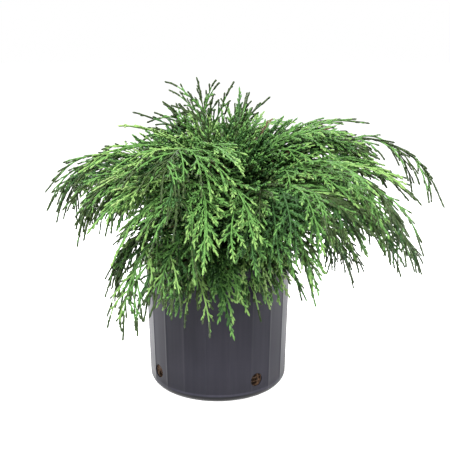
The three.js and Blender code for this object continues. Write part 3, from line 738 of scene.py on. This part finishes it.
def pot_material():
    """Moulded dark plastic: faint upright drag marks, cloudy scuffs, a fine orange-peel skin, painted
    shade on the bevel and towards the floor, and a painted highlight round the foot."""
    material, shader, add = new_material("pot_plastic", POT_COLOURS[0], 0.34, 0.08)
    where = placed(add)
    drags = clouds(add, placed(add, (1, 1, 0.04)), 180, 3)
    scuffs = clouds(add, where, 14, 4)
    marks = remap(add, calculate(add, "ADD", drags, scuffs), 0.7, 1.3)
    colour = blend_colours(add, marks, *POT_COLOURS)
    height = add("ShaderNodeSeparateXYZ", {"Vector": where})[2]
    # painted shade on the bevel, which faces the floor
    bevel = remap(add, height, (BEVEL_HEIGHT - 1.2) * MM, (BEVEL_HEIGHT + 0.2) * MM, FOOT_PAINTED_SHADE)
    # painted shadow: the wall darker towards the floor
    low = remap(add, height, LOW_PAINTED_SHADOW[0] * MM, LOW_PAINTED_SHADOW[1] * MM, LOW_PAINTED_SHADOW[2])
    # painted highlight: a paler band round the foot
    highlight_band = calculate(add, "COMPARE", height, FOOT_PAINTED_HIGHLIGHT[0] * MM, FOOT_PAINTED_HIGHLIGHT[1] * MM)
    lift = calculate(add, "MULTIPLY", highlight_band, FOOT_PAINTED_HIGHLIGHT[2])
    level = calculate(add, "MULTIPLY_ADD", bevel, low, lift)
    shaded = add("ShaderNodeVectorMath", {0: colour, "Scale": level}, operation="SCALE")[0]
    rough = remap(add, scuffs, 0.3, 0.7, 0.3, 0.38)
    shader.id_data.links.new(rough, shader.inputs["Roughness"])
    dress(shader, add, shaded, clouds(add, where, 700, 2), 0.08, 0.4)
    return material


def mix_material():
    """Potting mix: dark brown crumbs with paler fibres."""
    material, shader, add = new_material("potting_mix", (0.05, 0.03, 0.02), 0.95, 0.1)
    where = placed(add)
    fibres = remap(add, clouds(add, where, 420, 5), 0.35, 0.7)
    colour = blend_colours(add, fibres, (0.012, 0.008, 0.006), (0.060, 0.035, 0.018))
    dress(shader, add, colour, cells(add, where, 240), 0.9, 2)
    return material


# Pieces

def wall_radius(height):
    """Radius of the flutes' crests, straight from the bevel up to the rim."""
    share = (height - BEVEL_HEIGHT) / (POT_HEIGHT - RIM_HEIGHT - BEVEL_HEIGHT)
    return lerp(WALL_FOOT_RADIUS, WALL_TOP_RADIUS, share)


def mix_radius(height):
    """Radius of the potting mix's side: the pot's inside less a clearance."""
    return wall_radius(height) - WALL - FLUTE_DEPTH - MIX_CLEARANCE


def pot_profile():
    """Section of the pot as radius, height and share of the flutes' depth, from the middle of the
    underside up the outside, over the rolled edge and down to the middle of the floor."""
    rim_foot = POT_HEIGHT - RIM_HEIGHT
    arc = np.linspace(0, np.pi / 2, 7)
    foot = [(0, 0, 0), (60, 0, 0), (FOOT_RADIUS - 1, 0, 0)]
    share = np.linspace(0, 1, 10)
    out = lerp(share, np.sin(share * np.pi / 2), FOOT_ROUNDING)
    up = lerp(share, 1 - np.cos(share * np.pi / 2), FOOT_ROUNDING)
    heel = (WALL_FOOT_RADIUS - 0.6 - FOOT_RADIUS, BEVEL_HEIGHT - 0.6)
    bevel = [(FOOT_RADIUS + heel[0] * x, heel[1] * y, 0) for x, y in zip(out, up)]
    bevel += [(WALL_FOOT_RADIUS - 0.2, BEVEL_HEIGHT + 0.8, 0)]
    heights = np.linspace(BEVEL_HEIGHT + 1.6, rim_foot - 2, 30)
    fades = np.clip(np.minimum(heights - BEVEL_HEIGHT - 1, rim_foot - 2 - heights) / 6, 0, 1)
    fades = np.sin(fades * np.pi / 2)
    wall = [(wall_radius(z), z, fade) for z, fade in zip(heights, fades)]
    lip = [(WALL_TOP_RADIUS + 0.2, rim_foot, 0), (RIM_RADIUS - 0.8, rim_foot + 1.2, 0)]
    lip += [(RIM_RADIUS, rim_foot + 3, 0), (RIM_RADIUS, POT_HEIGHT - 2 * RIM_BEAD, 0)]
    bead = [
        (RIM_RADIUS - RIM_BEAD + RIM_BEAD * np.cos(a), POT_HEIGHT - RIM_BEAD + RIM_BEAD * np.sin(a), 0)
        for a in np.concatenate([arc, arc[1:] + np.pi / 2])
    ]
    inner = RIM_RADIUS - 2 * RIM_BEAD
    inside = [(inner, rim_foot + 3, 0), (WALL_TOP_RADIUS - WALL - 0.4, rim_foot - 1, 0)]
    down = np.linspace(rim_foot - 4, BEVEL_HEIGHT + 6, 16)
    inside += [(wall_radius(z) - WALL - FLUTE_DEPTH * 0.5, z, 0.5) for z in down]
    inside += [(FOOT_RADIUS - 2, POT_FLOOR + 3, 0), (FOOT_RADIUS - 6, POT_FLOOR, 0), (0, POT_FLOOR, 0)]
    return np.array(foot + bevel + wall + lip + bead + inside, float)


def flute_bearings():
    """Columns round the pot, close together on the ridges between its flutes."""
    half = np.array(RIDGE_COLUMNS)
    about = np.concatenate([-half[-2:0:-1], half])
    ridges = FLUTE_TURN + 360 / FLUTES * np.arange(FLUTES)
    return np.radians(ridges[:, None] + about).ravel()


def flute_dents(bearing):
    """How far the wall lies inside its ridges: a shallow curve |sin(FLUTES a / 2)| across each
    flute, and the rounded ridge 1 - exp(-(d / RIDGE_WIDTH)^2), with a and d the angle and the arc
    from the nearest ridge."""
    across = np.sin(FLUTES * (bearing - np.radians(FLUTE_TURN)) / 2)
    arc = WALL_FOOT_RADIUS * np.arcsin(np.abs(across)) * 2 / FLUTES
    ridge = 1 - np.exp(-((arc / RIDGE_WIDTH) ** 2))
    return HOLLOW_DEPTH * np.abs(across) + (FLUTE_DEPTH - HOLLOW_DEPTH) * ridge


def turned_surface(profile, bearing, dents=0):
    """A closed surface of revolution: profile rows (radius, height, fade) turned about +Z to every
    bearing, with the radius less the bearing's dent times fade. The rows on the axis are single
    points."""
    columns = len(bearing)
    middle = profile[1:-1]
    count = len(middle)
    ring = around(middle[:, :1] - middle[:, 2:] * dents, bearing, middle[:, 1:2])
    on_axis = [[0, 0, profile[0, 1]], [0, 0, profile[-1, 1]]]
    points = np.concatenate([ring.reshape(-1, 3), on_axis])
    quads = ring_quads(np.arange(count - 1) * columns, columns)
    here = np.arange(columns)
    after = np.roll(here, -1)
    bottom = stack(after, here, count * columns)
    last = (count - 1) * columns
    top = stack(last + here, last + after, count * columns + 1)
    return points, [quads, bottom, top]


def cut_holes(piece):
    """Round drain holes through the wall, cut along their own bearings."""
    turns = 2 * np.pi * np.arange(DRAIN_SIDES) / DRAIN_SIDES
    ring = stack(0 * turns, DRAIN_RADIUS * np.cos(turns), DRAIN_RADIUS * np.sin(turns))
    ring += (WALL_FOOT_RADIUS, 0, DRAIN_HEIGHT)
    ends = np.concatenate([ring - (14, 0, 0), ring + (14, 0, 0)])
    here = np.arange(DRAIN_SIDES)
    faces = ring_quads(here[:1], DRAIN_SIDES).tolist()
    faces += [here[::-1].tolist(), (here + DRAIN_SIDES).tolist()]
    for a in np.radians(DRAIN_BEARINGS):
        turn = np.array([[np.cos(a), np.sin(a), 0], [-np.sin(a), np.cos(a), 0], [0, 0, 1]])
        mesh = bpy.data.meshes.new("drain_cutter")
        mesh.from_pydata((ends @ turn * MM).tolist(), [], faces)
        mesh.update()
        cutter = add_object("drain_cutter", mesh)
        cut = piece.modifiers.new("drain", "BOOLEAN")
        cut.object = cutter
        cut.operation = "DIFFERENCE"
        cut.solver = "EXACT"
        depsgraph = bpy.context.evaluated_depsgraph_get()
        result = bpy.data.meshes.new_from_object(piece.evaluated_get(depsgraph))
        piece.modifiers.clear()
        old = piece.data
        piece.data = result
        result.name = old.name
        bpy.data.meshes.remove(old)
        bpy.data.objects.remove(cutter)
        bpy.data.meshes.remove(mesh)


def make_pot():
    """Fluted pot with a rolled edge and four drain holes."""
    profile = pot_profile()
    bearing = flute_bearings()
    points, faces = turned_surface(profile, bearing, flute_dents(bearing))
    piece = make_piece("fluted_pot", points, faces, pot_material(), "pot_plastic", ["pot"])
    cut_holes(piece)
    piece.data.shade_smooth()
    piece.data.set_sharp_from_angle(angle=np.radians(38))
    return piece


def make_mix(material):
    """Potting mix: the pot's inside less a clearance, with a lumpy top. The top at radius r is the
    straight fall from the stem to the wall plus two sizes of waves."""
    radii = np.linspace(1, 0, MIX_RINGS)[:-1] * (mix_radius(MIX_EDGE_HEIGHT) - 0.9)
    fall = np.clip((radii - MIX_FLAT_RADIUS) / (radii[0] - MIX_FLAT_RADIUS), 0, 1)
    heights = lerp(MIX_TOP_HEIGHT, MIX_EDGE_HEIGHT, fall)
    side = np.concatenate([np.linspace(10, 46, 13), np.linspace(52, MIX_EDGE_HEIGHT - 4, 16)])
    profile = [(0, POT_FLOOR + 0.4, 0), (FOOT_RADIUS - 8, POT_FLOOR + 0.4, 0)]
    profile += [(mix_radius(z), z, 0) for z in side]
    profile += [(r, z, 1) for r, z in zip(radii, heights)]
    profile += [(0, MIX_TOP_HEIGHT, 1)]
    bearing = 2 * np.pi * np.arange(MIX_COLUMNS) / MIX_COLUMNS
    points, faces = turned_surface(np.array(profile, float), bearing)
    seeds = (SEED + 5, SEED + 6)
    lumps = sum(height * waves(points, size, seed) for (height, size), seed in zip(MIX_LUMPS, seeds))
    on_top = points[:, 2] > MIX_EDGE_HEIGHT - 1
    points[:, 2] += np.where(on_top, np.clip(lumps, -2.5, 1.5) - 0.8, 0)
    low = points[:, 2] < 60
    inwards = 1 - np.where(low & ~on_top, 0.006 * (1 + waves(points, 6, SEED + 7)), 0)
    points[:, :2] *= inwards[:, None]
    bearing = np.degrees(np.arctan2(points[:, 1], points[:, 0]))[:, None]
    turn = (bearing - np.array(DRAIN_BEARINGS) + 180) % 360 - 180
    away = np.hypot(np.radians(turn) * WALL_FOOT_RADIUS, points[:, 2:] - DRAIN_HEIGHT).min(axis=1)
    hollow = 0.07 * np.clip((1.4 * DRAIN_RADIUS - away) / 6, 0, 1)
    points[:, :2] *= 1 - hollow[:, None]
    return make_piece("potting_mix_body", points, faces, material, "potting_mix", ["soil"])


def make_roots():
    """Fine roots on the mix behind each drain hole: strands across the hole at random headings,
    bent a little, laid on the mix's round side at arc length u and height v."""
    rng = np.random.default_rng(SEED + 20)
    count = ROOTS * len(DRAIN_BEARINGS)
    hole = np.radians(np.repeat(DRAIN_BEARINGS, ROOTS))[:, None]
    heading = rng.uniform(0, 2 * np.pi, count)[:, None]
    along = np.linspace(-DRAIN_RADIUS * 1.6, DRAIN_RADIUS * 1.6, 13)
    across = either(rng, (count, 1), DRAIN_RADIUS * 0.85) + either(rng, (count, 1), 3) * np.cos(
        along / 5 + rng.uniform(0, 6, (count, 1))
    )
    u = np.cos(heading) * along - np.sin(heading) * across
    v = DRAIN_HEIGHT + np.sin(heading) * along + np.cos(heading) * across
    v = np.maximum(v, POT_FLOOR + 3)
    radius = mix_radius(v) + 0.35
    bearing = hole + u / radius
    points = around(radius, bearing, v)
    ahead = unit(np.gradient(points, axis=1))
    across = unit(np.cross(ahead, around(1, bearing, 0)))
    strands = dict(points=points, side=across, up=np.cross(across, ahead))
    width = rng.uniform(*ROOT_WIDTH, (count, 1)) + 0 * along[None, :-1]
    # the roots' own dark brown, darkened further as painted shade of the hollow behind each hole
    material = bark_material("roots", (0.012, 0.006, 0.003), (0.055, 0.026, 0.010), 2)
    return make_piece("root_strands", *tubes(strands, width, 6), material, "potting_mix", ["soil"])


def make_chips():
    """Bark chips and crumbs on the potting mix: flat blocks of eight corners, each of its own size,
    turn and tilt, the corners moved a little at random."""
    rng = np.random.default_rng(SEED + 8)
    radius = 18 + (wall_radius(MIX_EDGE_HEIGHT) - 30) * np.sqrt(rng.uniform(size=CHIPS))
    bearing = rng.uniform(0, 2 * np.pi, CHIPS)
    size = np.abs(rng.normal(0, 1, (CHIPS, 3))) * (2.2, 1.4, 0.5) + (2.0, 1.4, 0.7)
    corners = np.array([[x, y, z] for z in (-1, 1) for x, y in ((-1, -1), (1, -1), (1, 1), (-1, 1))])
    blocks = corners[None] * size[:, None] * rng.uniform(0.7, 1.15, (CHIPS, 8, 3))
    turn = rng.uniform(0, 2 * np.pi, CHIPS)
    tilt = either(rng, CHIPS, 0.5)
    x = blocks[..., 0] * np.cos(tilt)[:, None] - blocks[..., 2] * np.sin(tilt)[:, None]
    z = blocks[..., 0] * np.sin(tilt)[:, None] + blocks[..., 2] * np.cos(tilt)[:, None]
    y = blocks[..., 1]
    cos, sin = np.cos(turn)[:, None], np.sin(turn)[:, None]
    fall = np.clip((radius - MIX_FLAT_RADIUS) / (108 - MIX_FLAT_RADIUS), 0, 1)
    ground = lerp(MIX_TOP_HEIGHT, MIX_EDGE_HEIGHT, fall) + 0.4
    points = stack(x * cos - y * sin, x * sin + y * cos, z)
    points += around(radius, bearing, ground)[:, None]
    block = [[3, 2, 1, 0], [4, 5, 6, 7], [0, 1, 5, 4], [1, 2, 6, 5], [2, 3, 7, 6], [3, 0, 4, 7]]
    faces = (np.array(block) + 8 * np.arange(CHIPS)[:, None, None]).reshape(-1, 4)
    material = bark_material("bark_chips", (0.045, 0.026, 0.014), (0.16, 0.09, 0.045), 3)
    points = points.reshape(-1, 3)
    return make_piece("bark_chips", points, [faces], material, "potting_mix", ["soil"], smooth=False)


def make_trunk(material):
    """Main stem: rings whose radius runs through flare, base, waist and top, less for the bark's
    furrows, which are waves drawn out along the stem."""
    height = TRUNK_TOP - TRUNK_FOOT
    z = np.linspace(0, 1, TRUNK_RINGS)
    knots = [0, 0.12, 0.4, 0.96, 1]
    radii = [TRUNK_RADIUS[k] for k in ("flare", "base", "waist", "top")] + [TRUNK_RADIUS["top"] - 2]
    radius = np.interp(z, knots, radii)
    radius = np.convolve(np.pad(radius, 2, mode="edge"), np.ones(5) / 5, mode="valid")
    bearing = 2 * np.pi * np.arange(TRUNK_COLUMNS) / TRUNK_COLUMNS
    lobes = 1 + 0.09 * np.cos(5 * bearing + 0.6) * (1 - z[:, None]) ** 3
    shape = around(TRUNK_RADIUS["top"], bearing, 0.25 * height * z[:, None])
    furrow = 0.55 * waves(shape, 4.5, SEED + 10) + 0.3 * waves(shape, 1.8, SEED + 11)
    r = radius[:, None] * lobes + np.minimum(furrow, 0.4) - 0.4
    rise = height * z[:, None]
    ring = around(r, bearing, TRUNK_FOOT + rise) + stack(rise * TRUNK_LEAN, 0, 0)
    points = np.concatenate([ring.reshape(-1, 3), [[height * TRUNK_LEAN, 0, TRUNK_TOP + 0.5]]])
    faces = ring_faces(1, TRUNK_RINGS, TRUNK_COLUMNS)
    return make_piece("trunk_bark", points, faces, material, "bark", ["trunk"])


def axis_part(axes, start, end, steps):
    """The stretch of every axis between two shares of it, start and end, at equal steps."""
    t = np.linspace(0, 1, steps + 1)
    count = len(PLUMES)
    at = lerp(np.broadcast_to(start, count)[:, None], np.broadcast_to(end, count)[:, None], t)
    rows = np.repeat(np.arange(count), steps + 1)
    places = sample(axes, rows, at.ravel())
    return dict(zip(("points", "forward", "side", "up"), (p.reshape(count, -1, 3) for p in places)))


def make_boughs(axes, material):
    """Boughs from the trunk to their foliage: tapering tubes with waves of bark on them."""
    part = axis_part(axes, 0, field("share") + 0.02, BOUGH_STEPS)
    t = np.linspace(0, 1, BOUGH_STEPS + 1)[:-1]
    radii = lerp(*BOUGH_RADIUS, t) + 0 * part["points"][:, :-1, 0]
    points, faces = tubes(part, radii, BOUGH_SIDES)
    relief = 0.22 * waves(points * (1, 1, 0.5), 3.2, SEED + 12) + 0.1 * waves(points, 1.4, SEED + 13)
    count = len(PLUMES) * BOUGH_STEPS * BOUGH_SIDES
    centre = np.repeat(part["points"][:, :-1].reshape(-1, 3), BOUGH_SIDES, axis=0)
    outward = unit(points[:count] - centre)
    points[:count] += outward * relief[:count, None]
    nodes = [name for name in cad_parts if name.startswith("bough")]
    return make_piece("boughs_bark", points, faces, material, "bark", nodes)


def make_stems(axes, material, nodes):
    """Brown stems of the plumes, from the bough's tip to where they turn green."""
    part = axis_part(axes, field("share") - 0.01, WOODY_END, STEM_STEPS)
    t = np.linspace(0, 1, STEM_STEPS + 1)[:-1]
    radii = lerp(*STEM_RADIUS, t) + 0 * part["points"][:, :-1, 0]
    points, faces = tubes(part, radii, STEM_SIDES)
    return make_piece("plume_stems", points, faces, material, "bark", nodes)


def make_foliage(axes):
    """All cords, sprays and scale-clad tips, one piece for each kind and tone."""
    nodes = sorted(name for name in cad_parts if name.startswith("foliage"))
    cords = grow_cords(axes)
    ends = end_cords(axes)
    both = {key: np.concatenate([cords[key], ends[key]]) for key in cords}
    sprays = grow_sprays(both)
    leaves = grow_leaves(sprays)
    kinds = (
        (both, np.linspace(*CORD_RADIUS, CORD_STEPS), 4, 0.25),
        (sprays, np.linspace(*SPRAY_RADIUS, SPRAY_STEPS) * KNOBS, 3, 0.3),
        (leaves, np.array(LEAF_RADII), 3, 1),
    )
    for number, tone in enumerate(TONES):
        material = leaf_material(tone)
        parts = []
        bulk = PAINTED_SHADE_BULK if tone == "deep" else 1
        for branches, radii, sides, tip in kinds:
            part = pick(branches, branches["tone"] == number)
            widths = bulk * radii * part["width"][:, None]
            parts.append(tubes(part, widths, sides, tip))
        if len(parts[0][0]):
            make_piece(f"cords_{tone}", *join(parts[:2]), material, "leaves", nodes)
        make_piece(f"scale_tips_{tone}", *parts[2], material, "leaves", nodes)
    stems = bark_material("stem_bark", (0.085, 0.066, 0.030), (0.17, 0.13, 0.066), 2.5)
    make_stems(axes, stems, nodes)


# Studio

def make_studio():
    """White floor, surroundings that are brighter below than above, and the soft lights."""
    mesh = bpy.data.meshes.new("floor")
    corners = [(FLOOR_SIZE * x, FLOOR_SIZE * y, 0) for x, y in ((-1, -1), (1, -1), (1, 1), (-1, 1))]
    mesh.from_pydata(corners, [], [(0, 1, 2, 3)])
    floor = add_object("floor", mesh)
    material, shader, _ = new_material("floor_white", (0.5, 0.5, 0.5), 0.9, 0.1)
    shader.inputs["Emission Color"].default_value = (1, 1, 1, 1)
    shader.inputs["Emission Strength"].default_value = FLOOR_GLOW
    mesh.materials.append(material)
    world = bpy.data.worlds.new("studio")
    world.use_nodes = True
    nodes, links = world.node_tree.nodes, world.node_tree.links
    where = nodes.new("ShaderNodeTexCoord")
    split = nodes.new("ShaderNodeSeparateXYZ")
    links.new(where.outputs["Generated"], split.inputs[0])
    fade = nodes.new("ShaderNodeMapRange")
    for key, value in {"From Min": 0.3, "From Max": 0.65, "To Min": 1.0, "To Max": 0.3}.items():
        fade.inputs[key].default_value = value
    links.new(split.outputs["Z"], fade.inputs["Value"])
    links.new(fade.outputs[0], nodes["Background"].inputs["Strength"])
    nodes["Background"].inputs["Color"].default_value = (1, 1, 1, 1)
    bpy.context.scene.world = world
    for light in LIGHTS:
        add_light(*light)


def add_light(name, place, width, height, power):
    """A soft light that faces the plant's middle."""
    light = bpy.data.lights.new(name, "AREA")
    light.shape = "RECTANGLE"
    light.size = width
    light.size_y = height
    light.energy = power
    lamp = add_object(name, light)
    lamp.visible_camera = False
    lamp.location = place
    aim = np.array(LIGHT_AIM) - np.array(place)
    pitch = np.arctan2(np.hypot(aim[0], aim[1]), -aim[2])
    lamp.rotation_euler = (pitch, 0, np.arctan2(aim[1], aim[0]) - np.pi / 2)


def make_camera():
    """The photograph's viewpoint: in front of the pot, looking along +Y and a little down."""
    data = bpy.data.cameras.new("camera")
    data.sensor_width = SENSOR
    data.lens = CAMERA_FOCUS * SENSOR / PICTURE
    camera = add_object("camera", data)
    camera.location = np.array(CAMERA_PLACE) * MM
    camera.rotation_euler = (np.radians(90 - CAMERA_PITCH), 0, 0)
    bpy.context.scene.camera = camera


bpy.context.scene.view_settings.view_transform = "Standard"
make_camera()
make_studio()
plume_axis = plume_axes()
make_pot()
mix = mix_material()
make_mix(mix)
make_chips()
make_roots()
bark = bark_material("old_bark", (0.075, 0.042, 0.024), (0.22, 0.135, 0.08), 5)
make_trunk(bark)
make_boughs(plume_axis, bark)
make_foliage(plume_axis)
